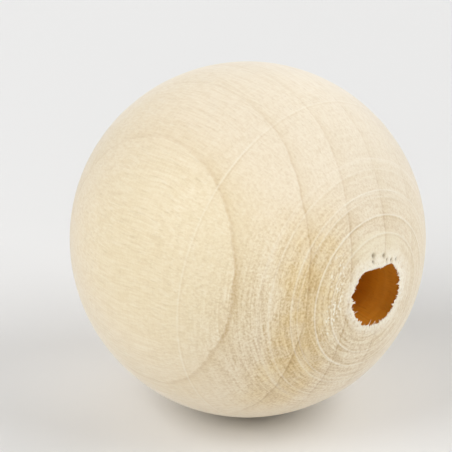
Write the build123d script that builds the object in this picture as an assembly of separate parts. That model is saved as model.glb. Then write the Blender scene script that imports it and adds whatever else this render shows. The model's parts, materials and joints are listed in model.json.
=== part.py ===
from build123d import *
import os
from math import sqrt

# Wooden bead: a ball turned from one piece of wood, with a straight bore drilled through its middle.
# Millimetres. The origin is the ball's centre, halfway along the bore, which lies along X.

# Driving dimensions
ball_diameter = 25.0
bore_diameter = 4.5
# The fine bevel that breaks the edge of each mouth: its width across the ball, and its depth into the bore
mouth_bevel_width = 0.15
mouth_bevel_depth = 0.15

ball_radius = ball_diameter / 2
bore_radius = bore_diameter / 2
rim_radius = bore_radius + mouth_bevel_width
# Distances along the bore from the ball's centre to a mouth's rim and to the end of the bore's plain wall
rim_distance = sqrt(ball_radius**2 - rim_radius**2)
wall_distance = rim_distance - mouth_bevel_depth


def half_section():
    """Half of the bead's lengthwise section, on one side of the bore's axis."""
    near_rim = (-rim_distance, rim_radius)
    far_rim = (rim_distance, rim_radius)
    near_wall = (-wall_distance, bore_radius)
    far_wall = (wall_distance, bore_radius)
    turned_outside = ThreePointArc(near_rim, (0, ball_radius), far_rim)
    drilled_inside = Polyline(far_rim, far_wall, near_wall, near_rim)
    return make_face([turned_outside, drilled_inside])


def bead():
    """The half section turned once round the bore's axis: ball, bore and both bevelled mouths in one solid."""
    return revolve(half_section(), Axis.X)


os.makedirs("parts", exist_ok=True)
export_step(bead(), "parts/bead.step")
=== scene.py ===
import json
import math
from random import Random

import bpy
import numpy as np
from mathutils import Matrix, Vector, noise


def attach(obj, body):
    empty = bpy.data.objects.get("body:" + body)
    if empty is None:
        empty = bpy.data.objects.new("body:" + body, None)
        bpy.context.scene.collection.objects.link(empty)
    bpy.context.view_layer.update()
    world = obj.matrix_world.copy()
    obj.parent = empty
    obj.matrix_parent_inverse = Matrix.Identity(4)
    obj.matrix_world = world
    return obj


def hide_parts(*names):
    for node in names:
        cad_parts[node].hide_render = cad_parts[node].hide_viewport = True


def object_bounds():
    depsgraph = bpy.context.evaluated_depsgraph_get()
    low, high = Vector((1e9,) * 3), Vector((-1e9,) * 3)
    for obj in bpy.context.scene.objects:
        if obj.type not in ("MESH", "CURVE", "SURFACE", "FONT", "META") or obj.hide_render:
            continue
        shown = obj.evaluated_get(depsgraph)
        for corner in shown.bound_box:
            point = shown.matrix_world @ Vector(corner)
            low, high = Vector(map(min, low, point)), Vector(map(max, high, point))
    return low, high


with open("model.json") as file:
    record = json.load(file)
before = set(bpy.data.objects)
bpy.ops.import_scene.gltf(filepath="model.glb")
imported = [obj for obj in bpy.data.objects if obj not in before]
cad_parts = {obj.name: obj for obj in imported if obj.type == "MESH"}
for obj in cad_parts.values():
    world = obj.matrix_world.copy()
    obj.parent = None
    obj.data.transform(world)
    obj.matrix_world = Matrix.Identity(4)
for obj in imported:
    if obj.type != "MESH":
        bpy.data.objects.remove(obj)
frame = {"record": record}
cad_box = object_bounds()

# The bead is worked out in millimetres and written in metres
MM = 0.001
BALL_RADIUS = cad_box[1].y / MM
BORE_RADIUS = frame["record"]["mounts"][0]["dims"]["r_mm"]
POLE_TO_POLE = math.pi * BALL_RADIUS
FULL_TURN = 2 * math.pi
# A shift of noise moves it by these shares along X, Y and Z
SHIFT_WAY = (1.0, 0.7, -1.0)

# Mesh: columns round the bore, and steps between rows on the ball, in the lips and down the bore
COLUMNS = 280
FINE_STEP = 0.068
COARSE_STEP = 0.31
FINE_REACH = 4.9
COARSE_REACH = 8.0
LIP_ROWS = 7
LIP_DEPTH = 0.3
LIP_BEND = 1.3
TURNED_LIP_ROWS = 2
WALL_FINE_STEP = 0.09
WALL_COARSE_STEP = 0.6
WALL_FINE_REACH = 1.5
WALL_COARSE_REACH = 5.0

# The torn edge of a mouth: fibre ends stand into the bore, chips are broken out of it
NEAR_EDGE_SEED = 11
FAR_EDGE_SEED = 29
EDGE_EASING = 0.06
EDGE_REACH = 0.9
FIBRE_ENDS = 64
FIBRE_END_HALF_WIDTHS = (0.06, 0.14)
FIBRE_END_LENGTHS = (0.05, 0.17)
EDGE_CHIPS = 12
EDGE_CHIP_HALF_WIDTHS = (0.1, 0.25)
EDGE_CHIP_DEPTHS = (0.02, 0.08)
# The straight flap of torn wood at the top of the near mouth
FLAP_ANGLE = math.radians(84)
FLAP_HALF_TURN = math.radians(48)
FLAP_DISTANCE = 1.9
FLAP_LEAST_COSINE = 0.2
FLAP_JAG_SHARE = 0.3
# The side of each mouth that broke out widest, and how far down the bore it flares
NEAR_BREAK_ANGLE = math.radians(-28)
FAR_BREAK_ANGLE = math.radians(120)
BREAK_HALF_TURN = math.radians(125)
BREAK_DEPTH = 0.25
FLARE_DEPTH = 2.2

# The drilled wall: marks that wind round it, and ridges along the fibres
DRILL_MARK_HEIGHT = 0.007
DRILL_MARK_PITCH = 0.62
FIBRE_RIDGE_HEIGHT = 0.022
FIBRE_RIDGE_STRETCH = (0.12, 1.0, 1.0)
FIBRE_RIDGE_SIZE = 0.2
FIBRE_RIDGE_SHIFT = 31.0

# Loose fibres at each mouth: teeth that stand over the edge into the bore, and fluff that lies on the ball
NEAR_FIBRE_SEED = 5
FAR_FIBRE_SEED = 17
FIBRE_SWAY = 0.35
FIBRE_SINK = 0.25
INTO_BORE = -1.0
TEETH = 124
TOOTH_JITTER = (0.1, 0.9)
TOOTH_WIDTHS = (0.05, 0.085)
TOOTH_LENGTHS = (0.24, 0.44)
TOOTH_CURLS = (-0.06, 0.05)
TOOTH_ROOT = 0.14
SHORTEST_TEETH = 0.45
FLUFF = 60
FLUFF_WIDTHS = (0.035, 0.06)
FLUFF_LENGTHS = (0.18, 0.4)
FLUFF_CURLS = (0.02, 0.1)
FLUFF_REACHES = (0.05, 0.55)
FLUFF_WAYS = (-1.0, 1.0, 0.2)
# One thicker tuft below the near mouth
TUFT_FIBRES = 16
TUFT_ANGLE = math.radians(260)
TUFT_HALF_TURN = math.radians(20)
TUFT_CURLS = (0.02, 0.12)
TUFT_REACHES = (0.02, 0.3)
TUFT_WAYS = (-1.0, 1.0)
# Cross sections of one fibre, as (share of its length, share of its width)
SLIVER_SECTIONS = ((0.0, 1.0), (0.45, 0.85), (0.8, 0.5))
SLIVER_SIDES = 3

# Layers of noise, as (height, feature size, shift): turned surface, torn grain, outline of the torn band
SURFACE_WAVES = ((0.03, 8.0, 0.0), (0.008, 2.0, 3.0))
TORN_WAVES = ((0.03, 0.17, 13.0), (0.018, 0.08, 17.0))
RAGGED_WAVES = ((0.45, 0.45, 5.0), (0.3, 0.16, 9.0))
# Torn grain stands this much proud besides, and its outline is held within these limits
TORN_SWELL = 0.012
RAGGED_LIMITS = (0.3, 2.0)

# Whitened, torn grain: a band round each mouth, wider on one side, and a patch beside the near one
TORN_BAND = 0.85
TORN_FADE = 1.5
TORN_SIDE_ANGLE = math.radians(10)
TORN_SIDE_SHARE = 0.38
TORN_PATCH_DEPTH = 3.65
TORN_PATCH_HALF_DEPTH = 0.8
TORN_PATCH_DEPTH_CORE = 0.4
TORN_PATCH_ANGLE = math.radians(170)
TORN_PATCH_HALF_TURN = math.radians(62)
TORN_PATCH_TURN_CORE = 0.5
TORN_PATCH_ARC = 5.6
TORN_PATCH_FADE = 0.85
TORN_PATCH_BREAKS = (-0.6, 0.1)
TORN_PATCH_BREAK_SIZE = 0.6
TORN_PATCH_BREAK_SHIFT = 21.0

# Calm, paler wood between the near mouth's flap and the first tool line
CALM_ANGLE = math.radians(80)
CALM_HALF_TURN = math.radians(54)
CALM_CORE = 0.45
CALM_ARC_START = 4.2
CALM_ARC_END = 4.75

# Pits beside the near mouth where fibres came out, as (arc length, angle, radius, depth)
TEAR_PITS = (
    (2.86, math.radians(91), 0.14, 0.22),
    (2.48, math.radians(94), 0.1, 0.12),
    (2.72, math.radians(69), 0.12, 0.22),
    (2.5, math.radians(61), 0.08, 0.12),
    (2.62, math.radians(50), 0.09, 0.14),
    (2.88, math.radians(40), 0.09, 0.12),
)
PIT_STRETCH = 1.3

# Lines that the turning tool left, as (arc length from the mouth's pole, strength)
NEAR_LINES = ((4.4, 0.85), (5.67, 1.0), (6.93, 0.5), (7.4, 0.8), (8.95, 0.4), (9.75, 0.4), (15.16, 0.62))
FAR_LINES = ((4.2, 0.6), (5.8, 1.0), (6.6, 0.4), (8.1, 0.7), (12.9, 0.25))
LINE_HALF_WIDTH = 0.05
LINE_HEIGHT = 0.032
GROOVE_OFFSET = 0.15
GROOVE_SHARE = 0.55
RIDGE_WINDOW = 0.13
GROOVE_WINDOW = 0.28
LINE_STEP = 0.049
# Each line comes and goes round the ball, and a strong line fades less
LINE_FADE_RING = 1.4
LINE_FADE_SHIFT = 3.1
LINE_FADE_LEVEL = 0.64
LINE_FADE_SWING = 1.2
LINE_LEAST = 0.36
LINE_LEAST_GAIN = 0.44
# The bore runs this far beside the turning axis, so the lines aren't quite centred on it
DRILL_WANDER = 0.5
DRILL_WANDER_ANGLE = math.radians(328)
# The bore and the turning axis aren't quite parallel, so the offset differs towards the ball's middle
MIDDLE_WANDER = 0.61
MIDDLE_WANDER_ANGLE = math.radians(298)
WANDER_START = 10.5
WANDER_END = 13.5
# Between these arc lengths the mesh rows run along the tool lines
LINES_START = 4.2
LINES_END = 15.3
LINES_FADE = 4.0

# Growth layers: rings round a pith axis beside the ball, as depths from the ball's centre towards the bark
PITH_DISTANCE = 45.0
PITH_ANGLE = math.radians(350)
PITH_ASIDE = PITH_DISTANCE * math.cos(PITH_ANGLE)
PITH_ABOVE = PITH_DISTANCE * math.sin(PITH_ANGLE)
LAYER_DEPTHS = (-14.0, -10.5, -7.1, -4.0, -0.55, 2.7, 5.72, 9.75, 14.0)
# Waves in the layers, as (features to the millimetre, height, shift)
LAYER_WAVES = (
    ((0.03, 0.1, 0.1), 0.5, (0.0, 0.0, 0.0)),
    ((0.15, 0.5, 0.5), 0.3, (0.0, 0.0, 0.0)),
    ((0.4, 1.4, 1.4), 0.2, (5.0, 3.0, 8.0)),
)
# Wood within this band of depths is yellower
HONEY_DEPTH = 5.4
HONEY_HALF_DEPTH = 2.9
HONEY_CORE = 0.4
# How far through a layer, from 0 to 1, its dark line starts, and its tan wood ends
LAYER_LINE_START = (0.94, 0.98)
LAYER_TAN_END = (1.0, 0.975)
LAYER_TAN_POWER = 5.0

# Sides of the ball: the rougher one, the yellower one, the upper one, which is painted paler as a sheen of
# the light from above, and the one where layers show most
ROUGH_SIDE = Vector((0.93, -0.33, -0.14))
HONEY_SIDE = Vector((0.25, -0.91, 0.31))
PAINTED_SHEEN_SIDE = Vector((0.35, 0.3, 0.89))
LAYERED_SIDE = Vector((0.78, -0.61, 0.15))

# Noise in the finishes: features to the millimetre along X, Y and Z, detail and shift
LAYER_PATCHES = {"stretch": (0.12, 0.3, 0.3), "shift": (4.0, 9.0, 2.0)}
STREAKS = {"stretch": (0.09, 1.5, 1.5), "detail": 3.0}
FINE_FIBRES = {"stretch": (0.55, 6.0, 6.0), "shift": (3.0, 7.0, 1.0)}
PORES = {"stretch": (0.9, 7.5, 7.5), "detail": 1.0, "shift": (8.0, 2.0, 5.0)}
FLECKS = {"stretch": (0.7, 6.0, 6.0), "detail": 1.0, "shift": (1.0, 6.0, 9.0)}
SCRATCHES = {"stretch": (5.6, 0.34, 0.34), "detail": 1.0}
NAP = {"stretch": (6.4, 6.0, 6.0), "detail": 1.0, "shift": (3.0, 8.0, 1.0)}
RAGGED_GRAIN = {"stretch": (7.5, 4.5, 4.5), "shift": (9.0, 1.0, 6.0)}
TONES = {"stretch": (0.07, 0.13, 0.13), "shift": (2.0, 2.0, 7.0)}
BLOTCHES = {"stretch": (0.4, 0.6, 0.6), "detail": 3.0, "shift": (7.0, 4.0, 4.0)}
DRILL_RINGS = {"stretch": (3.2, 0.3, 0.3), "shift": (6.0, 3.0, 3.0)}
LOOSE_TONES = {"stretch": (2.0, 2.0, 2.0)}
FLOOR_CLOUDS = {"stretch": (0.012, 0.012, 0.012)}
# Fibres sway from the straight by noise of this scale and detail
GRAIN_SWAY_SCALE = 0.3
GRAIN_SWAY_DETAIL = 1.0
GRAIN_SWAY = (0.6, 0.6, 0.6)

# Ranges of masks, as (from low, from high) or (from low, from high, to low, to high)
LAYERED_SIDE_RANGE = (0.2, 0.95, 0.42, 1.0)
LAYER_PATCH_RANGE = (0.3, 0.62, 0.5, 1.0)
PORE_RANGE = (0.6, 0.74)
FLECK_RANGE = (0.48, 0.74)
TONE_RANGE = (0.3, 0.7)
HONEY_SIDE_RANGE = (0.7, 0.98, 0.0, 0.8)
PAINTED_SHEEN_RANGE = (0.45, 0.95, 0.0, 0.7)
ROUGH_SIDE_RANGE = (0.66, 0.97)
WORKED_MOUTH_RANGE = (8.5, 12.0, 0.0, 0.35)
CALMED_RANGE = (0.0, 1.0, 1.0, 0.5)
BLOTCH_RANGE = (0.38, 0.62, 0.55, 1.0)
WHITENED_RANGE = (0.36, 0.58, 0.55, 0.95)
PALE_FLECK_RANGE = (0.52, 0.62)
DARK_FLECK_RANGE = (0.44, 0.34)
WOOD_ROUGHNESS_RANGE = (0.3, 0.7, 0.5, 0.62)
WALL_ROUGHNESS_RANGE = (0.3, 0.7, 0.5, 0.7)
DRILL_RING_RANGE = (0.5, 0.75, 0.0, 0.3)
WALL_DEPTH_LIGHT_RANGE = (8.5, 12.0, 0.0, 0.6)
FLOOR_CLOUD_RANGE = (0.3, 0.7)

# Fine marks, as (from low, from high, share added where the wood is worked, share everywhere)
SCRATCH_MARKS = (0.38, 0.62, 0.5, 0.06)
NAP_MARKS = (0.34, 0.66, 0.4, 0.12)
FIBRE_MARKS = (0.3, 0.7, 0.37, 0.26)
MARK_SWING = 0.5
# The layers' tan wood and dark lines, as (share added where the wood is worked, share everywhere)
LAYER_TAN_STRENGTH = (0.4, 0.6)
LAYER_LINE_STRENGTH = (0.18, 0.2)

# How much of each colour goes on where its mask is full
TONE_SHARE = 0.5
PORE_SHARE = 0.13
FLECK_SHARE = 0.16
CALM_SHARE = 0.3
RIDGE_PALE_SHARE = 0.75
GROOVE_SHADE_SHARE = 0.8
PALE_FLECK_SHARE = 0.85
DARK_FLECK_SHARE = 0.4
PIT_SHADE_SHARE = 0.8
WALL_LINE_SHARE = 0.3
WALL_PORE_SHARE = 0.25

# Colours of the turned wood
PALE_STREAK = (0.85, 0.74, 0.545, 1.0)
TAN_STREAK = (0.79, 0.66, 0.45, 1.0)
TONED_WOOD = (0.83, 0.7, 0.51, 1.0)
HONEY_WOOD = (0.8, 0.68, 0.45, 1.0)
# Paler wood on the ball's upper side: a painted sheen of the light from above
PAINTED_SHEEN_WOOD = (0.83, 0.73, 0.575, 1.0)
PORE_BROWN = (0.5, 0.34, 0.16, 1.0)
FLECK_CREAM = (0.95, 0.88, 0.73, 1.0)
MARK_BROWN = (0.585, 0.42, 0.215, 1.0)
MARK_CREAM = (0.98, 0.92, 0.76, 1.0)
CALM_CREAM = (0.95, 0.89, 0.67, 1.0)
RIDGE_CREAM = (0.96, 0.9, 0.77, 1.0)
# Painted shade in the groove beside each tool line
GROOVE_PAINTED_SHADE = (0.58, 0.42, 0.21, 1.0)
TORN_WHITE = (0.97, 0.91, 0.77, 1.0)
TORN_FLECK_WHITE = (0.97, 0.92, 0.79, 1.0)
TORN_FLECK_BROWN = (0.55, 0.4, 0.22, 1.0)
# Painted shade in the pits beside the near mouth
PIT_PAINTED_SHADE = (0.2, 0.13, 0.06, 1.0)
# Stains that darken the wood below them
WORKED_STAIN = (0.96, 0.94, 0.91, 1.0)
YELLOW_STAIN = (0.95, 0.87, 0.67, 1.0)
LAYER_TAN_STAIN = (0.86, 0.8, 0.68, 1.0)
LAYER_LINE_STAIN = (0.66, 0.5, 0.34, 1.0)
# Colours of the drilled wall, the loose fibres, the floor and the sky
WALL_STREAK = (0.79, 0.345, 0.018, 1.0)
WALL_DARK_STREAK = (0.735, 0.285, 0.013, 1.0)
WALL_BROWN = (0.36, 0.11, 0.01, 1.0)
WALL_PALE = (0.8, 0.38, 0.06, 1.0)
# Darker wall near each mouth, so that the wall deeper in the bore, which lies in shade, is painted
# lighter: painted light
WALL_NEAR_MOUTH = (0.5, 0.18, 0.014, 1.0)
LOOSE_TAN = (0.84, 0.73, 0.54, 1.0)
LOOSE_CREAM = (0.95, 0.89, 0.76, 1.0)
FLOOR_GREY = (0.8, 0.797, 0.792, 1.0)
FLOOR_PALE = (0.82, 0.817, 0.812, 1.0)
SKY_WHITE = (1.0, 1.0, 0.99, 1.0)

# Fine relief, as the share of each mask in the height
FINE_RELIEF = 0.4
SCRATCH_RELIEF = 0.5
NAP_RELIEF = 0.8
PORE_RELIEF = -0.5
LAYER_RELIEF = 0.3
DRILL_RELIEF = 0.6
RELIEF_STRENGTH = 0.7
RELIEF_DEPTH = 0.04 * MM
# Gloss, where it is even all over a surface
WOOD_GLOSS = {"Specular IOR Level": 0.6, "Sheen Weight": 0.42, "Sheen Roughness": 0.4}
WALL_GLOSS = {"Specular IOR Level": 0.3}
LOOSE_GLOSS = {"Roughness": 0.75, "Specular IOR Level": 0.3}
FLOOR_GLOSS = {"Roughness": 0.8, "Specular IOR Level": 0.2}
# Roughness that torn grain adds to the wood
TORN_ROUGHNESS = 0.2
# Sockets of the mix node when it mixes colours
MIX_SHARE = 0
MIX_FIRST = 6
MIX_SECOND = 7
MIX_RESULT = 2
# Room above the ball for the lines and the torn grain, where the arc length is worked out
PROUD_ROOM = 0.1

# Camera: the photograph's frame, and where the ball lies in it, in pixels
FRAME_PIXELS = 452
BALL_CENTRE_PIXELS = (247.8, 239.2)
BALL_RADIUS_PIXELS = 178.1
CAMERA_AZIMUTH = 44.7
CAMERA_ELEVATION = 25.5
CAMERA_DISTANCE = 30 * BALL_RADIUS * MM
CAMERA_CLIP_SHARE = 0.01

# The sky's level on white that faces it, and the level of the background that it shows
SKY_LEVEL = 0.085
BACKGROUND_LEVEL = 0.8
# Soft lamps, as (name, turn from the camera in degrees, elevation in degrees, level on white facing them)
LAMPS = (
    ("left_lamp", -63, 40, 0.68),
    ("right_lamp", 80, 40, 0.57),
    ("front_lamp", 0, 26, 0.225),
    ("back_right_lamp", 150, 28, 0.32),
    ("back_left_lamp", -150, 28, 0.13),
)
LAMP_DISTANCE = 1.2
LAMP_WIDTH = 0.9
# The floor is flat to here, in metres, then sweeps up to a low rim
FLOOR_FLAT = 0.8
FLOOR_REACH = 1.6
FLOOR_RIM = 0.16
FLOOR_RINGS = 16
FLOOR_SIDES = 64


def smooth_step(low, high, value):
    """Eases from 0 at low to 1 at high."""
    share = np.clip((value - low) / (high - low), 0.0, 1.0)
    return share * share * (3 - 2 * share)


def turn_between(angles, angle):
    """Signed turn from angle to each of angles, in radians."""
    return (angles - angle + math.pi) % FULL_TURN - math.pi


def roughness_of(points, size, shift=0.0):
    """Smooth noise from -1 to 1 at each point, with features of about that size."""
    offset = Vector([shift * way for way in SHIFT_WAY])
    flat = points.reshape(-1, 3) / size
    values = [noise.noise(Vector(point) + offset) for point in flat]
    return np.array(values).reshape(points.shape[:-1])


def waves_of(points, waves):
    """Sum of layers of noise at each point, each layer given as (height, feature size, shift)."""
    return sum(height * roughness_of(points, size, shift) for height, size, shift in waves)


def stepped(start, stop, step_at):
    """Places from start to stop whose spacing follows step_at, closed up evenly to end at stop."""
    places = [start]
    while places[-1] < stop:
        places.append(places[-1] + step_at(places[-1]))
    places = np.array(places)
    return start + (places - start) * (stop - start) / (places[-1] - start)


def ball_step(arc):
    """Spacing of the mesh rows on the ball: fine at the mouths and across each tool line."""
    far_arc = POLE_TO_POLE - arc
    share = float(smooth_step(FINE_REACH, COARSE_REACH, min(arc, far_arc)))
    step = FINE_STEP + (COARSE_STEP - FINE_STEP) * share
    offsets = [arc - line for line, _ in NEAR_LINES] + [far_arc - line for line, _ in FAR_LINES]
    if any(-GROOVE_WINDOW < offset < RIDGE_WINDOW for offset in offsets):
        step = min(step, LINE_STEP)
    return step


def wall_step(place, wall_end):
    """Spacing of the mesh rows down the bore: fine at both ends."""
    from_mouth = wall_end - abs(place)
    share = float(smooth_step(WALL_FINE_REACH, WALL_COARSE_REACH, from_mouth))
    return WALL_FINE_STEP + (WALL_COARSE_STEP - WALL_FINE_STEP) * share


def broken_share(angles, break_angle):
    """How near each angle is to the side of a mouth that broke out widest, from 0 to 1."""
    return smooth_step(BREAK_HALF_TURN, 0.0, np.abs(turn_between(angles, break_angle)))


def broken_out(angles, break_angle):
    """How far the wood broke out beyond the bore at each angle round a mouth."""
    return EDGE_EASING + BREAK_DEPTH * broken_share(angles, break_angle)


def frayed_edge(angles, draw, break_angle, flap=False):
    """Radius of a mouth's torn edge at each angle round the bore."""

    def gap_to_spot():
        return np.abs(turn_between(angles, draw.uniform(0, FULL_TURN))) * BORE_RADIUS

    edge = BORE_RADIUS + broken_out(angles, break_angle)
    for _ in range(EDGE_CHIPS):
        gap = gap_to_spot()
        half_width = draw.uniform(*EDGE_CHIP_HALF_WIDTHS)
        edge += draw.uniform(*EDGE_CHIP_DEPTHS) * smooth_step(half_width, 0.0, gap)
    for _ in range(FIBRE_ENDS):
        gap = gap_to_spot()
        half_width = draw.uniform(*FIBRE_END_HALF_WIDTHS)
        edge -= draw.uniform(*FIBRE_END_LENGTHS) * np.clip(1 - gap / half_width, 0, None)
    if flap:
        across = np.clip(np.cos(turn_between(angles, FLAP_ANGLE)), FLAP_LEAST_COSINE, 1.0)
        jag = edge - (BORE_RADIUS + EDGE_EASING)
        edge = np.minimum(edge, FLAP_DISTANCE / across + FLAP_JAG_SHARE * jag)
    return edge


def on_ball(arc, angles):
    """Points of the plain ball at arc lengths from the near mouth's pole and angles round the bore."""
    turn = arc / BALL_RADIUS
    ring = BALL_RADIUS * np.sin(turn)
    return np.stack([BALL_RADIUS * np.cos(turn), ring * np.cos(angles), ring * np.sin(angles)], -1)


def wander(arc, angles):
    """How far the circle of a tool line stands off the bore's own circle, in arc length."""
    near = DRILL_WANDER * np.cos(turn_between(angles, DRILL_WANDER_ANGLE))
    middle = MIDDLE_WANDER * np.cos(turn_between(angles, MIDDLE_WANDER_ANGLE))
    return near + (middle - near) * smooth_step(WANDER_START, WANDER_END, arc)


def along_lines(arc, rim_arc):
    """How far mesh rows follow the tool lines of one mouth, from 0 to 1."""
    return smooth_step(rim_arc, LINES_START, arc) * smooth_step(LINES_END + LINES_FADE, LINES_END, arc)


def line_left(angles, place, strength):
    """How much of one tool line is left at each angle round the bore, from 0 to 1."""
    ring = [LINE_FADE_RING * np.cos(angles), LINE_FADE_RING * np.sin(angles)]
    ring.append(np.full_like(angles, LINE_FADE_SHIFT * place))
    level = LINE_FADE_LEVEL + LINE_FADE_SWING * roughness_of(np.stack(ring, -1), 1.0)
    return np.clip(level, LINE_LEAST + LINE_LEAST_GAIN * strength**2, 1.0)


def turning_lines(arc, angles, lines):
    """How far each point lies on a tool line's ridge, up to 1, or in the groove beside it, below 0."""
    centred = arc - wander(arc, angles)
    total = np.zeros_like(arc)
    for place, strength in lines:
        ridge = np.exp(-(((centred - place) / LINE_HALF_WIDTH) ** 2))
        groove = np.exp(-(((centred - place + GROOVE_OFFSET) / LINE_HALF_WIDTH) ** 2))
        total += strength * line_left(angles, place, strength) * (ridge - GROOVE_SHARE * groove)
    return np.clip(total, -1, 1)


def torn_band(angles, from_edge, points):
    """How far the grain round a mouth is torn and whitened at each point, from 0 to 1."""
    ragged = np.clip(1 + waves_of(points, RAGGED_WAVES), *RAGGED_LIMITS)
    band = TORN_BAND * (1 + TORN_SIDE_SHARE * np.cos(turn_between(angles, TORN_SIDE_ANGLE)))
    return smooth_step(TORN_FADE, 0.0, from_edge / (band * ragged))


def torn_patch(arc, angles, points):
    """How far the grain in the patch beside the near mouth is torn at each point, from 0 to 1."""
    depth = np.hypot(points[..., 1] - PITH_ASIDE, points[..., 2] - PITH_ABOVE) - PITH_DISTANCE
    off_depth = np.abs(depth - TORN_PATCH_DEPTH) / TORN_PATCH_HALF_DEPTH
    off_angle = np.abs(turn_between(angles, TORN_PATCH_ANGLE)) / TORN_PATCH_HALF_TURN
    breaks = roughness_of(points, TORN_PATCH_BREAK_SIZE, TORN_PATCH_BREAK_SHIFT)
    torn = smooth_step(TORN_PATCH_ARC, TORN_PATCH_FADE * TORN_PATCH_ARC, arc)
    torn = torn * smooth_step(*TORN_PATCH_BREAKS, breaks)
    torn = torn * smooth_step(1.0, TORN_PATCH_DEPTH_CORE, off_depth)
    return torn * smooth_step(1.0, TORN_PATCH_TURN_CORE, off_angle)


def calm_wood(arc, angles):
    """How calm and pale the wood above the near mouth is at each point, from 0 to 1."""
    aside = np.abs(turn_between(angles, CALM_ANGLE)) / CALM_HALF_TURN
    return smooth_step(1.0, CALM_CORE, aside) * smooth_step(CALM_ARC_END, CALM_ARC_START, arc)


def tear_pits(arc, angles):
    """Depth below the ball of the pits beside the near mouth, and how much painted shade they get, from 0
    to 1.
    """
    depth = np.zeros_like(arc)
    shade = np.zeros_like(arc)
    for place, angle, radius, sunk in TEAR_PITS:
        beside = BALL_RADIUS * np.sin(arc / BALL_RADIUS) * turn_between(angles, angle)
        near = np.exp(-(((arc - place) / (PIT_STRETCH * radius)) ** 2) - (beside / radius) ** 2)
        depth += sunk * near
        shade += near
    return depth, np.clip(shade, 0, 1)


def outside_grid(near_edge, far_edge, columns):
    """Arc lengths and angles of the mesh points on the ball, from the near mouth to the far one."""
    rim_arc = BALL_RADIUS * math.asin((BORE_RADIUS + EDGE_EASING) / BALL_RADIUS)
    rows = stepped(rim_arc, POLE_TO_POLE - rim_arc, ball_step)
    arc, angles = np.meshgrid(rows, columns, indexing="ij")
    far_arc = POLE_TO_POLE - arc
    near_wander = wander(arc, angles) * along_lines(arc, rim_arc)
    far_wander = wander(far_arc, angles) * along_lines(far_arc, rim_arc)
    arc = arc + near_wander - far_wander
    near_shift = BALL_RADIUS * np.arcsin(near_edge / BALL_RADIUS) - rim_arc
    far_shift = BALL_RADIUS * np.arcsin(far_edge / BALL_RADIUS) - rim_arc
    near_share = np.clip(1 - (arc - rim_arc) / EDGE_REACH, 0, 1) ** 2
    far_share = np.clip(1 - (POLE_TO_POLE - arc - rim_arc) / EDGE_REACH, 0, 1) ** 2
    return arc + near_share * near_shift - far_share * far_shift, angles


def ball_outside(near_edge, far_edge, columns):
    """Points of the turned outside, with the masks that its finish needs."""
    arc, angles = outside_grid(near_edge, far_edge, columns)
    far_arc = POLE_TO_POLE - arc
    near_half = arc < far_arc
    from_edge = np.where(near_half, arc - arc[0], far_arc - far_arc[-1])
    plain = on_ball(arc, angles)
    near_lines = turning_lines(arc, angles, NEAR_LINES)
    far_lines = turning_lines(far_arc, angles, FAR_LINES)
    lines = np.where(near_half, near_lines, far_lines)
    torn = torn_band(angles, from_edge, plain)
    sunk, shade = tear_pits(arc, angles)
    lift = waves_of(plain, SURFACE_WAVES) + LINE_HEIGHT * lines
    lift += torn * (TORN_SWELL + waves_of(plain, TORN_WAVES)) - sunk
    finish = {
        "tool_line": lines,
        "torn_grain": torn,
        "torn_flecks": np.where(near_half, torn_patch(arc, angles, plain), 0.0),
        "pit_painted_shade": shade,
        "calm_wood": calm_wood(arc, angles),
    }
    return plain * (1 + lift / BALL_RADIUS)[..., None], finish


def bore_wall(columns):
    """Points of the drilled wall, row by row from the far mouth to the near one."""
    wall_end = math.sqrt(BALL_RADIUS**2 - BORE_RADIUS**2) - LIP_DEPTH
    rows = stepped(-wall_end, wall_end, lambda place: wall_step(place, wall_end))
    along, angles = np.meshgrid(rows, columns, indexing="ij")
    plain = np.stack([along, BORE_RADIUS * np.cos(angles), BORE_RADIUS * np.sin(angles)], -1)
    marks = DRILL_MARK_HEIGHT * np.sin(FULL_TURN * along / DRILL_MARK_PITCH + angles)
    ridges = roughness_of(plain * FIBRE_RIDGE_STRETCH, FIBRE_RIDGE_SIZE, FIBRE_RIDGE_SHIFT)
    near_end = smooth_step(wall_end - FLARE_DEPTH, wall_end, along)
    far_end = smooth_step(FLARE_DEPTH - wall_end, -wall_end, along)
    flare = broken_out(angles, NEAR_BREAK_ANGLE) * near_end + broken_out(angles, FAR_BREAK_ANGLE) * far_end
    radius = BORE_RADIUS + marks + FIBRE_RIDGE_HEIGHT * ridges + flare
    return np.stack([along, radius * np.cos(angles), radius * np.sin(angles)], -1)


def lip(edge_row, wall_row, columns):
    """Rows that round the torn edge over from the ball's outside into the bore."""
    rows = []
    edge_radius = np.hypot(edge_row[:, 1], edge_row[:, 2])
    wall_radius = np.hypot(wall_row[:, 1], wall_row[:, 2])
    for step in range(1, LIP_ROWS):
        share = step / LIP_ROWS
        along = edge_row[:, 0] + (wall_row[:, 0] - edge_row[:, 0]) * share**LIP_BEND
        radius = edge_radius + (wall_radius - edge_radius) * smooth_step(0.0, 1.0, share)
        rows.append(np.stack([along, radius * np.cos(columns), radius * np.sin(columns)], -1))
    return np.array(rows)


def ring_faces(row_count, columns):
    """Quads of a mesh whose rows and columns both close on themselves, facing outwards."""
    row, column = np.meshgrid(np.arange(row_count), np.arange(columns), indexing="ij")
    next_row = (row + 1) % row_count
    next_column = (column + 1) % columns
    corners = [row * columns + column, row * columns + next_column]
    corners += [next_row * columns + next_column, next_row * columns + column]
    return np.stack(corners, -1).reshape(-1, 4)


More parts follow.
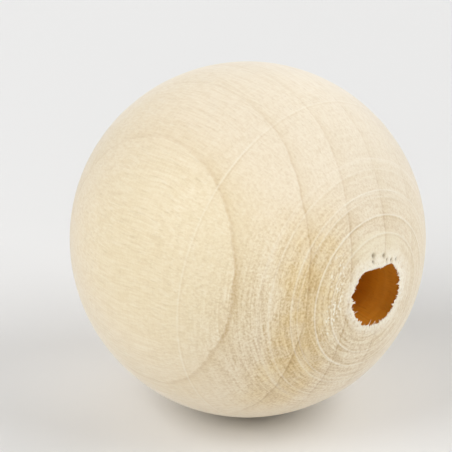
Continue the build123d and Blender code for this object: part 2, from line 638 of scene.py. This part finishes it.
def unrolled_map(mesh, points):
    """Lays the bead's grid flat, by distance along its section and turn round the bore."""
    rows, columns = points.shape[:2]
    gaps = np.linalg.norm(np.roll(points, -1, axis=0) - points, axis=-1).mean(axis=1)
    heights = np.concatenate([[0.0], np.cumsum(gaps)]) / gaps.sum()
    row, column = np.meshgrid(np.arange(rows), np.arange(columns), indexing="ij")
    across = np.stack([column, column + 1, column + 1, column], -1) / columns
    along = heights[np.stack([row, row, row + 1, row + 1], -1)]
    layer = mesh.uv_layers.new(name="OFBake")
    layer.uv.foreach_set("vector", np.stack([across, along], -1).astype(np.float32).ravel())


def shown(name, mesh, materials):
    """Puts a mesh in the scene as an object with these materials."""
    piece = bpy.data.objects.new(name, mesh)
    bpy.context.scene.collection.objects.link(piece)
    for material in materials:
        mesh.materials.append(material)
    return piece


def sliver(root, run, side, width, curl):
    """Points and faces of one torn fibre: a thin three-sided splinter that tapers to a bent tip."""
    lift = run.cross(side).normalized()
    points = []
    for share, thickness in SLIVER_SECTIONS:
        middle = root + run * share + lift * (curl * share * share)
        half = width * thickness / 2
        points += [middle + side * half, middle - side * half, middle + lift * half]
    points.append(root + run + lift * curl)
    tip = len(points) - 1
    last = tip - SLIVER_SIDES
    faces = [(0, 1, 2)]
    for base in range(0, last, SLIVER_SIDES):
        for corner in range(base, base + SLIVER_SIDES):
            after = base + (corner + 1) % SLIVER_SIDES
            faces.append((corner, corner + SLIVER_SIDES, after + SLIVER_SIDES, after))
    for corner in range(SLIVER_SIDES):
        faces.append((last + corner, tip, last + (corner + 1) % SLIVER_SIDES))
    return points, faces


def rooted_sliver(end, ring, angle, outwards, length, width, curl, sway):
    """One fibre rooted in the ball's surface, ring millimetres from the bore's axis."""
    radial = Vector((0.0, math.cos(angle), math.sin(angle)))
    around = Vector((0.0, -math.sin(angle), math.cos(angle)))
    root = radial * ring + Vector((end * math.sqrt(BALL_RADIUS**2 - ring**2), 0.0, 0.0))
    normal = root.normalized()
    slope = (radial - normal * radial.dot(normal)).normalized()
    run = (slope * outwards + around * sway).normalized() * length
    side = run.cross(normal).normalized()
    return sliver(root - normal * (FIBRE_SINK * width), run, -side, width, curl)


def fibre_shape(draw, lengths, widths, curls):
    """Length, width, curl and sideways sway of one loose fibre."""
    length = draw.uniform(*lengths)
    width = draw.uniform(*widths)
    curl = draw.uniform(*curls)
    return length, width, curl, draw.gauss(0.0, FIBRE_SWAY)


def teeth(draw, break_angle, flap):
    """Fibres that stand over a mouth's edge into the bore, longest where the wood broke out widest."""
    fibres = []
    for number in range(TEETH):
        angle = FULL_TURN * (number + draw.uniform(*TOOTH_JITTER)) / TEETH
        if flap and abs(turn_between(angle, FLAP_ANGLE)) < FLAP_HALF_TURN:
            continue
        length, *shape = fibre_shape(draw, TOOTH_LENGTHS, TOOTH_WIDTHS, TOOTH_CURLS)
        length *= SHORTEST_TEETH + (1 - SHORTEST_TEETH) * float(broken_share(angle, break_angle))
        fibres.append((angle, TOOTH_ROOT, INTO_BORE, length, *shape))
    return fibres


def fluff(draw):
    """Fibres that lie on the ball all round a mouth."""
    fibres = []
    for _ in range(FLUFF):
        angle = draw.uniform(0, FULL_TURN)
        way = draw.choice(FLUFF_WAYS)
        beyond = draw.uniform(*FLUFF_REACHES)
        fibres.append((angle, beyond, way, *fibre_shape(draw, FLUFF_LENGTHS, FLUFF_WIDTHS, FLUFF_CURLS)))
    return fibres


def tuft(draw):
    """The thicker tuft of fibres below the near mouth."""
    fibres = []
    for _ in range(TUFT_FIBRES):
        angle = TUFT_ANGLE + draw.uniform(-1, 1) * TUFT_HALF_TURN
        way = draw.choice(TUFT_WAYS)
        beyond = draw.uniform(*TUFT_REACHES)
        fibres.append((angle, beyond, way, *fibre_shape(draw, TOOTH_LENGTHS, TOOTH_WIDTHS, TUFT_CURLS)))
    return fibres


def mouth_fibres(end, edge, columns, draw, break_angle, flap):
    """Slivers round one mouth: end is 1 at the near mouth and -1 at the far one."""
    fibres = teeth(draw, break_angle, flap) + fluff(draw)
    if flap:
        fibres += tuft(draw)
    slivers = []
    for angle, beyond, *shape in fibres:
        ring = float(np.interp(angle % FULL_TURN, columns, edge, period=FULL_TURN)) + beyond
        slivers.append(rooted_sliver(end, ring, angle, *shape))
    return slivers


def torn_fibres(near_edge, far_edge, columns, material):
    """Every loose fibre at both mouths, rooted in the ball's surface."""
    slivers = mouth_fibres(1, near_edge, columns, Random(NEAR_FIBRE_SEED), NEAR_BREAK_ANGLE, True)
    slivers += mouth_fibres(-1, far_edge, columns, Random(FAR_FIBRE_SEED), FAR_BREAK_ANGLE, False)
    points = []
    faces = []
    for sliver_points, sliver_faces in slivers:
        base = len(points)
        points += [tuple(point * MM) for point in sliver_points]
        faces += [tuple(base + corner for corner in face) for face in sliver_faces]
    mesh = bpy.data.meshes.new("torn_fibres")
    mesh.from_pydata(points, [], faces)
    mesh.update()
    return shown("torn_fibres", mesh, [material])


def turned_bead(near_edge, far_edge, columns, materials):
    """The bead: turned outside, torn mouths and drilled wall, in one closed mesh."""
    outside, finish = ball_outside(near_edge, far_edge, columns)
    wall = bore_wall(columns)
    far_lip = lip(outside[-1], wall[0], columns)
    near_lip = lip(outside[0], wall[-1], columns)[::-1]
    points = np.concatenate([outside, far_lip, wall, near_lip])
    rows = len(points)
    mesh = bpy.data.meshes.new("turned_bead")
    mesh.from_pydata((points.reshape(-1, 3) * MM).tolist(), [], ring_faces(rows, COLUMNS).tolist())
    drilled = np.ones(rows, int)
    drilled[: len(outside) - 1 + TURNED_LIP_ROWS] = 0
    drilled[rows - TURNED_LIP_ROWS :] = 0
    mesh.polygons.foreach_set("material_index", np.repeat(drilled, COLUMNS))
    mesh.polygons.foreach_set("use_smooth", np.ones(rows * COLUMNS, bool))
    for name, values in finish.items():
        inside = np.full((rows - len(outside), COLUMNS), 1.0 if name == "torn_grain" else 0.0)
        layer = mesh.attributes.new(name, "FLOAT", "POINT")
        layer.data.foreach_set("value", np.concatenate([values, inside]).astype(np.float32).ravel())
    unrolled_map(mesh, points)
    mesh.update()
    return shown("turned_bead", mesh, materials)


class Wiring:
    """Adds nodes to one shader tree. A value that is a socket is linked, and any other value is set."""

    def __init__(self, tree):
        self.tree = tree

    def add(self, kind, values=None, **settings):
        node = self.tree.nodes.new(kind)
        for name, setting in settings.items():
            setattr(node, name, setting)
        for key, value in (values or {}).items():
            if isinstance(value, bpy.types.NodeSocket):
                self.tree.links.new(value, node.inputs[key])
            else:
                node.inputs[key].default_value = value
        return node

    def reckon(self, operation, *terms):
        return self.add("ShaderNodeMath", dict(enumerate(terms)), operation=operation).outputs[0]

    def product(self, first, second):
        return self.reckon("MULTIPLY", first, second)

    def scaled(self, value, share, onto):
        """Share of a value, added onto another value."""
        return self.reckon("MULTIPLY_ADD", value, share, onto)

    def between(self, value, low, high, out_low=0.0, out_high=1.0):
        """Eases from out_low where the value is low to out_high where it is high."""
        keys = ("Value", "From Min", "From Max", "To Min", "To Max")
        values = dict(zip(keys, (value, low, high, out_low, out_high)))
        return self.add("ShaderNodeMapRange", values, interpolation_type="SMOOTHSTEP").outputs[0]

    def mixed(self, share, first, second, way="MIX"):
        values = {MIX_SHARE: share, MIX_FIRST: first, MIX_SECOND: second}
        return self.add("ShaderNodeMix", values, data_type="RGBA", blend_type=way).outputs[MIX_RESULT]

    def stained(self, share, colour, stain):
        """A colour darkened by a share of a stain."""
        return self.mixed(share, colour, stain, "MULTIPLY")

    def stretched(self, place, stretch, shift=(0.0, 0.0, 0.0)):
        values = {0: place, 1: stretch, 2: shift}
        return self.add("ShaderNodeVectorMath", values, operation="MULTIPLY_ADD").outputs[0]

    def facing(self, place, side):
        """How far a place on the ball lies towards a side, from -1 to 1."""
        values = {0: place, 1: side / BALL_RADIUS}
        return self.add("ShaderNodeVectorMath", values, operation="DOT_PRODUCT").outputs["Value"]

    def mottle(self, place, stretch, detail=2.0, shift=(0.0, 0.0, 0.0)):
        """Noise from 0 to 1 over a place, with stretch features to the millimetre along each axis."""
        values = {"Vector": self.stretched(place, stretch, shift), "Scale": 1.0, "Detail": detail}
        return self.add("ShaderNodeTexNoise", values).outputs[0]

    def relief(self, height):
        values = {"Height": height, "Strength": RELIEF_STRENGTH, "Distance": RELIEF_DEPTH}
        return self.add("ShaderNodeBump", values).outputs[0]

    def group(self, tree, place):
        return self.add("ShaderNodeGroup", {"Place": place}, node_tree=tree).outputs

    def attribute(self, name):
        return self.add("ShaderNodeAttribute", attribute_name=name).outputs["Fac"]

    def place_in_millimetres(self):
        place = self.add("ShaderNodeTexCoord").outputs["Object"]
        return self.add("ShaderNodeVectorMath", {0: place, "Scale": 1 / MM}, operation="SCALE").outputs[0]


def new_group(name, outputs):
    """An empty node group that takes a place in millimetres and puts out values."""
    tree = bpy.data.node_groups.new(name, "ShaderNodeTree")
    tree.interface.new_socket("Place", in_out="INPUT", socket_type="NodeSocketVector")
    for output in outputs:
        tree.interface.new_socket(output, in_out="OUTPUT", socket_type="NodeSocketFloat")
    return tree, Wiring(tree), tree.nodes.new("NodeGroupInput").outputs["Place"]


def depth_in_wood(wiring, place):
    """Depth of a place from the ball's centre towards the bark, with the waves of the layers."""
    from_pith = wiring.stretched(place, (0.0, 1.0, 1.0), (0.0, -PITH_ASIDE, -PITH_ABOVE))
    distance = wiring.add("ShaderNodeVectorMath", {0: from_pith}, operation="LENGTH").outputs["Value"]
    waved = -PITH_DISTANCE - sum(height for _, height, _ in LAYER_WAVES) / 2
    for stretch, height, shift in LAYER_WAVES:
        waved = wiring.scaled(wiring.mottle(place, stretch, shift=shift), height, waved)
    return wiring.reckon("ADD", distance, waved)


def share_of_layer(wiring, depth):
    """How far a depth lies through its growth layer, from 0 to 1."""
    first = LAYER_DEPTHS[0]
    reach = LAYER_DEPTHS[-1] - first
    layers = len(LAYER_DEPTHS) - 1
    share = wiring.reckon("DIVIDE", wiring.reckon("SUBTRACT", depth, first), reach)
    ramp = wiring.add("ShaderNodeValToRGB", {"Fac": share})
    elements = ramp.color_ramp.elements
    for layer_depth in LAYER_DEPTHS[1:-1]:
        elements.new((layer_depth - first) / reach)
    for number in range(len(LAYER_DEPTHS)):
        elements[number].color = (number / layers,) * 3 + (1.0,)
    return wiring.reckon("FRACT", wiring.product(ramp.outputs["Color"], layers))


def growth_layers_group():
    """Growth layers: each layer's dark Line, the Tan wood before it, and the band of Honey wood."""
    tree, wiring, place = new_group("growth_layers", ("Line", "Tan", "Honey"))
    depth = depth_in_wood(wiring, place)
    phase = share_of_layer(wiring, depth)
    shown_side = wiring.between(wiring.facing(place, LAYERED_SIDE), *LAYERED_SIDE_RANGE)
    patchy = wiring.between(wiring.mottle(place, **LAYER_PATCHES), *LAYER_PATCH_RANGE)
    patchy = wiring.product(patchy, shown_side)
    line = wiring.product(wiring.between(phase, *LAYER_LINE_START), patchy)
    tan = wiring.reckon("POWER", phase, LAYER_TAN_POWER)
    tan = wiring.product(tan, wiring.between(phase, *LAYER_TAN_END))
    tan = wiring.product(tan, patchy)
    beside = wiring.reckon("ABSOLUTE", wiring.reckon("SUBTRACT", depth, HONEY_DEPTH))
    honey = wiring.between(beside, HONEY_HALF_DEPTH, HONEY_CORE * HONEY_HALF_DEPTH)
    wiring.add("NodeGroupOutput", {"Line": line, "Tan": tan, "Honey": honey})
    return tree


def long_fibres_group():
    """Fibres along the bore: broad Streak, Fine thread, dark Pore dashes and pale Fleck dashes."""
    tree, wiring, place = new_group("long_fibres", ("Streak", "Fine", "Pore", "Fleck"))
    sway = {"Vector": place, "Scale": GRAIN_SWAY_SCALE, "Detail": GRAIN_SWAY_DETAIL}
    sway = wiring.add("ShaderNodeTexNoise", sway).outputs["Color"]
    swayed = wiring.stretched(sway, GRAIN_SWAY, place)
    streak = wiring.mottle(swayed, **STREAKS)
    fine = wiring.mottle(swayed, **FINE_FIBRES)
    pore = wiring.between(wiring.mottle(swayed, **PORES), *PORE_RANGE)
    fleck = wiring.between(wiring.mottle(swayed, **FLECKS), *FLECK_RANGE)
    wiring.add("NodeGroupOutput", {"Streak": streak, "Fine": fine, "Pore": pore, "Fleck": fleck})
    return tree


def start_material(name):
    """An empty material, and the wiring of its shader tree."""
    material = bpy.data.materials.new(name)
    material.use_nodes = True
    material.node_tree.nodes.clear()
    return material, Wiring(material.node_tree)


def finish_material(wiring, values):
    """Gives the material its surface."""
    surface = wiring.add("ShaderNodeBsdfPrincipled", values)
    wiring.add("ShaderNodeOutputMaterial", {"Surface": surface.outputs[0]})


def place_on_lathe(wiring, place):
    """The place with arc length from the near pole for its X, so that marks run round the bore."""
    parts = wiring.add("ShaderNodeSeparateXYZ", {0: place}).outputs
    turn = wiring.reckon("ARCCOSINE", wiring.reckon("DIVIDE", parts["X"], BALL_RADIUS + PROUD_ROOM))
    arc = wiring.product(turn, BALL_RADIUS)
    return wiring.add("ShaderNodeCombineXYZ", {0: arc, 1: parts["Y"], 2: parts["Z"]}).outputs[0]


def from_middle(wiring, place):
    """Distance of a place from the middle of the bead, along the bore."""
    return wiring.reckon("ABSOLUTE", wiring.add("ShaderNodeSeparateXYZ", {0: place}).outputs["X"])


def worked_wood(wiring, place, calm):
    """Where tool and drill left the wood rough: one side of the ball and round the mouths."""
    rough_side = wiring.between(wiring.facing(place, ROUGH_SIDE), *ROUGH_SIDE_RANGE)
    near_mouth = wiring.between(from_middle(wiring, place), *WORKED_MOUTH_RANGE)
    worked = wiring.reckon("MAXIMUM", rough_side, near_mouth)
    return wiring.product(worked, wiring.between(calm, *CALMED_RANGE))


def bare_wood(wiring, place, fibre):
    """Colour of the wood: streaks, slow changes of tone, a yellower side, pores and flecks, and a painted
    sheen that pales the upper side.
    """
    colour = wiring.mixed(fibre["Streak"], PALE_STREAK, TAN_STREAK)
    tone = wiring.between(wiring.mottle(place, **TONES), *TONE_RANGE)
    colour = wiring.mixed(wiring.product(tone, TONE_SHARE), colour, TONED_WOOD)
    honey_side = wiring.between(wiring.facing(place, HONEY_SIDE), *HONEY_SIDE_RANGE)
    colour = wiring.mixed(honey_side, colour, HONEY_WOOD)
    # Painted sheen: the upper side is paled as if lit from above
    painted_sheen_side = wiring.between(wiring.facing(place, PAINTED_SHEEN_SIDE), *PAINTED_SHEEN_RANGE)
    colour = wiring.mixed(painted_sheen_side, colour, PAINTED_SHEEN_WOOD)
    colour = wiring.mixed(wiring.product(fibre["Pore"], PORE_SHARE), colour, PORE_BROWN)
    return wiring.mixed(wiring.product(fibre["Fleck"], FLECK_SHARE), colour, FLECK_CREAM)


def fine_marks(wiring, colour, worked, calm, masks):
    """Dark and pale marks of scratches, nap and fibres, strongest where the wood is worked."""
    marks = 0.0
    for mask, (low, high, worked_share, plain_share) in masks:
        strength = wiring.scaled(worked, worked_share, plain_share)
        marks = wiring.scaled(wiring.between(mask, low, high, -MARK_SWING, MARK_SWING), strength, marks)
    dark = wiring.product(wiring.reckon("MINIMUM", marks, 0.0), -1.0)
    colour = wiring.mixed(dark, colour, MARK_BROWN)
    colour = wiring.mixed(wiring.reckon("MAXIMUM", marks, 0.0), colour, MARK_CREAM)
    colour = wiring.stained(worked, colour, WORKED_STAIN)
    return wiring.mixed(wiring.product(calm, CALM_SHARE), colour, CALM_CREAM)


def layer_stains(wiring, place, colour, worked, grown):
    """Stains of the growth layers: yellowed wood, tan wood and thin dark lines."""
    blotch = wiring.between(wiring.mottle(place, **BLOTCHES), *BLOTCH_RANGE)
    yellowed = wiring.product(wiring.product(worked, blotch), grown["Honey"])
    colour = wiring.stained(yellowed, colour, YELLOW_STAIN)
    tan = wiring.product(grown["Tan"], wiring.scaled(worked, *LAYER_TAN_STRENGTH))
    colour = wiring.stained(tan, colour, LAYER_TAN_STAIN)
    line = wiring.product(grown["Line"], wiring.scaled(worked, *LAYER_LINE_STRENGTH))
    return wiring.stained(line, colour, LAYER_LINE_STAIN)


def tool_line_colours(wiring, colour):
    """Pale ridges of the tool lines, and painted shade in the grooves beside them."""
    tool_line = wiring.attribute("tool_line")
    ridge = wiring.product(wiring.reckon("MAXIMUM", tool_line, 0.0), RIDGE_PALE_SHARE)
    colour = wiring.mixed(ridge, colour, RIDGE_CREAM)
    # Painted shade in the grooves
    groove = wiring.product(wiring.reckon("MINIMUM", tool_line, 0.0), -GROOVE_SHADE_SHARE)
    return wiring.mixed(groove, colour, GROOVE_PAINTED_SHADE)


def torn_colours(wiring, colour, torn, ragged):
    """Whitened grain round the mouths, the flecked patch beside the near one, and painted shade in the
    pits.
    """
    whitened = wiring.product(torn, wiring.between(ragged, *WHITENED_RANGE))
    colour = wiring.mixed(whitened, colour, TORN_WHITE)
    patch = wiring.attribute("torn_flecks")
    pale = wiring.product(wiring.between(ragged, *PALE_FLECK_RANGE), patch)
    colour = wiring.mixed(wiring.product(pale, PALE_FLECK_SHARE), colour, TORN_FLECK_WHITE)
    dark = wiring.product(wiring.between(ragged, *DARK_FLECK_RANGE), patch)
    colour = wiring.mixed(wiring.product(dark, DARK_FLECK_SHARE), colour, TORN_FLECK_BROWN)
    # Painted shade darkens the pits
    return wiring.mixed(wiring.product(wiring.attribute("pit_painted_shade"), PIT_SHADE_SHARE), colour, PIT_PAINTED_SHADE)


def wood_height(wiring, grown, fibre, scratch, nap):
    """Height of the fine relief: fibres, scratches, nap, pores and growth layers."""
    height = wiring.scaled(fibre["Fine"], FINE_RELIEF, wiring.product(scratch, SCRATCH_RELIEF))
    height = wiring.scaled(nap, NAP_RELIEF, height)
    height = wiring.scaled(fibre["Pore"], PORE_RELIEF, height)
    return wiring.scaled(grown["Line"], LAYER_RELIEF, height)


def turned_wood(layers, fibres):
    """The turned outside: pale layered wood with fibres, tool lines, scratches and torn grain."""
    material, wiring = start_material("turned_wood")
    place = wiring.place_in_millimetres()
    on_lathe = place_on_lathe(wiring, place)
    grown = wiring.group(layers, place)
    fibre = wiring.group(fibres, place)
    scratch = wiring.mottle(on_lathe, **SCRATCHES)
    nap = wiring.mottle(on_lathe, **NAP)
    ragged = wiring.mottle(on_lathe, **RAGGED_GRAIN)
    torn = wiring.attribute("torn_grain")
    calm = wiring.attribute("calm_wood")
    worked = worked_wood(wiring, place, calm)

    masks = ((scratch, SCRATCH_MARKS), (nap, NAP_MARKS), (fibre["Fine"], FIBRE_MARKS))
    colour = bare_wood(wiring, place, fibre)
    colour = fine_marks(wiring, colour, worked, calm, masks)
    colour = layer_stains(wiring, place, colour, worked, grown)
    colour = tool_line_colours(wiring, colour)
    colour = torn_colours(wiring, colour, torn, ragged)

    height = wood_height(wiring, grown, fibre, scratch, wiring.product(nap, worked))
    rough = wiring.between(fibre["Streak"], *WOOD_ROUGHNESS_RANGE)
    rough = wiring.scaled(torn, TORN_ROUGHNESS, rough)
    values = {"Base Color": colour, "Roughness": rough, "Normal": wiring.relief(height)}
    finish_material(wiring, {**values, **WOOD_GLOSS})
    return material


def loose_fibre():
    """Bare torn fibre, paler than the wood it came from."""
    material, wiring = start_material("loose_fibre")
    tone = wiring.mottle(wiring.place_in_millimetres(), **LOOSE_TONES)
    colour = wiring.mixed(tone, LOOSE_TAN, LOOSE_CREAM)
    finish_material(wiring, {"Base Color": colour, **LOOSE_GLOSS})
    return material


def drilled_wall(layers, fibres):
    """The bore's wall: the same wood, browned by the drill and torn along its fibres, with painted light
    that makes it paler deep in the bore than near each mouth.
    """
    material, wiring = start_material("drilled_wall")
    place = wiring.place_in_millimetres()
    grown = wiring.group(layers, place)
    fibre = wiring.group(fibres, place)
    drill = wiring.mottle(place, **DRILL_RINGS)
    colour = wiring.mixed(fibre["Streak"], WALL_STREAK, WALL_DARK_STREAK)
    colour = wiring.mixed(wiring.product(grown["Line"], WALL_LINE_SHARE), colour, WALL_BROWN)
    colour = wiring.mixed(wiring.product(fibre["Pore"], WALL_PORE_SHARE), colour, WALL_BROWN)
    colour = wiring.mixed(wiring.between(drill, *DRILL_RING_RANGE), colour, WALL_PALE)
    # Painted light: the wall deep in the bore stays paler than near each mouth
    near_mouth = wiring.between(from_middle(wiring, place), *WALL_DEPTH_LIGHT_RANGE)
    colour = wiring.mixed(near_mouth, colour, WALL_NEAR_MOUTH)
    height = wiring.scaled(drill, DRILL_RELIEF, fibre["Fine"])
    rough = wiring.between(fibre["Streak"], *WALL_ROUGHNESS_RANGE)
    values = {"Base Color": colour, "Roughness": rough, "Normal": wiring.relief(height)}
    finish_material(wiring, {**values, **WALL_GLOSS})
    return material


def matt_tabletop():
    """A plain matt pale surface with faint clouds in it."""
    material, wiring = start_material("pale_floor")
    cloud = wiring.mottle(wiring.place_in_millimetres(), **FLOOR_CLOUDS)
    colour = wiring.mixed(wiring.between(cloud, *FLOOR_CLOUD_RANGE), FLOOR_GREY, FLOOR_PALE)
    finish_material(wiring, {"Base Color": colour, **FLOOR_GLOSS})
    return material


def pale_floor():
    """A plain pale tabletop, level with the lowest point of the ball."""
    material = matt_tabletop()
    rings = np.linspace(FLOOR_FLAT, FLOOR_REACH, FLOOR_RINGS)
    heights = cad_box[0].z + FLOOR_RIM * ((rings - FLOOR_FLAT) / (FLOOR_REACH - FLOOR_FLAT)) ** 2
    turns = np.arange(FLOOR_SIDES) * FULL_TURN / FLOOR_SIDES
    points = []
    for ring, height in zip(rings, heights):
        points += [(ring * math.cos(turn), ring * math.sin(turn), height) for turn in turns]
    bands = ring_faces(FLOOR_RINGS, FLOOR_SIDES)[: (FLOOR_RINGS - 1) * FLOOR_SIDES]
    faces = [tuple(range(FLOOR_SIDES))]
    faces += [tuple(face[::-1]) for face in bands]
    mesh = bpy.data.meshes.new("floor")
    mesh.from_pydata(points, [], faces)
    mesh.polygons.foreach_set("use_smooth", np.ones(len(faces), bool))
    shown("floor", mesh, [material])


def towards(azimuth, elevation):
    """Unit vector from the ball's centre, with azimuth 0 at -Y and 90 at +X, in degrees."""
    turn = math.radians(azimuth)
    rise = math.radians(elevation)
    return Vector((math.sin(turn) * math.cos(rise), -math.cos(turn) * math.cos(rise), math.sin(rise)))


def soft_lamp(name, azimuth, elevation, level):
    """A square soft box that faces the ball and gives that level to white facing it."""
    data = bpy.data.lights.new(name, "AREA")
    data.size = LAMP_WIDTH
    data.energy = level * math.pi**2 * LAMP_DISTANCE**2
    lamp = bpy.data.objects.new(name, data)
    lamp.location = towards(azimuth, elevation) * LAMP_DISTANCE
    lamp.rotation_mode = "QUATERNION"
    lamp.rotation_quaternion = towards(azimuth, elevation).to_track_quat("Z", "Y")
    bpy.context.scene.collection.objects.link(lamp)


def pale_sky():
    """An even sky that lights the ball, and shows as a pale background to the camera and in gloss."""
    world = bpy.data.worlds.new("pale_sky")
    bpy.context.scene.world = world
    world.use_nodes = True
    world.node_tree.nodes.clear()
    wiring = Wiring(world.node_tree)
    ray = wiring.add("ShaderNodeLightPath").outputs
    seen = wiring.reckon("MAXIMUM", ray["Is Camera Ray"], ray["Is Glossy Ray"])
    seen = wiring.reckon("MAXIMUM", seen, ray["Is Transmission Ray"])
    strength = wiring.scaled(seen, BACKGROUND_LEVEL - SKY_LEVEL, SKY_LEVEL)
    sky = wiring.add("ShaderNodeBackground", {"Color": SKY_WHITE, "Strength": strength})
    wiring.add("ShaderNodeOutputWorld", {"Surface": sky.outputs[0]})


def camera():
    """The photograph's view: a long lens, aimed so that the ball lies where the photograph has it."""
    data = bpy.data.cameras.new("camera")
    ball = BALL_RADIUS * MM
    focal_pixels = BALL_RADIUS_PIXELS * math.sqrt((CAMERA_DISTANCE / ball) ** 2 - 1)
    data.lens = data.sensor_width * focal_pixels / FRAME_PIXELS
    data.clip_start = CAMERA_DISTANCE * CAMERA_CLIP_SHARE
    viewer = bpy.data.objects.new("camera", data)
    back = towards(CAMERA_AZIMUTH, CAMERA_ELEVATION)
    viewer.rotation_mode = "QUATERNION"
    viewer.rotation_quaternion = (-back).to_track_quat("-Z", "Y")
    right = viewer.rotation_quaternion @ Vector((1, 0, 0))
    up = viewer.rotation_quaternion @ Vector((0, 1, 0))
    metres_a_pixel = CAMERA_DISTANCE / focal_pixels
    aside = (BALL_CENTRE_PIXELS[0] - FRAME_PIXELS / 2) * metres_a_pixel
    above = (FRAME_PIXELS / 2 - BALL_CENTRE_PIXELS[1]) * metres_a_pixel
    viewer.location = back * CAMERA_DISTANCE - right * aside - up * above
    bpy.context.scene.collection.objects.link(viewer)
    bpy.context.scene.camera = viewer


growth_layers = growth_layers_group()
long_fibres = long_fibres_group()
columns = np.arange(COLUMNS) * FULL_TURN / COLUMNS
near_edge = frayed_edge(columns, Random(NEAR_EDGE_SEED), NEAR_BREAK_ANGLE, flap=True)
far_edge = frayed_edge(columns, Random(FAR_EDGE_SEED), FAR_BREAK_ANGLE)
wood = [turned_wood(growth_layers, long_fibres), drilled_wall(growth_layers, long_fibres)]
bead = turned_bead(near_edge, far_edge, columns, wood)
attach(bead, "root")
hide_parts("bead")
fibres = torn_fibres(near_edge, far_edge, columns, loose_fibre())
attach(fibres, "root")

pale_floor()
pale_sky()
for lamp_name, lamp_turn, lamp_elevation, lamp_level in LAMPS:
    soft_lamp(lamp_name, CAMERA_AZIMUTH + lamp_turn, lamp_elevation, lamp_level)
camera()
bpy.context.scene.view_settings.view_transform = "Standard"
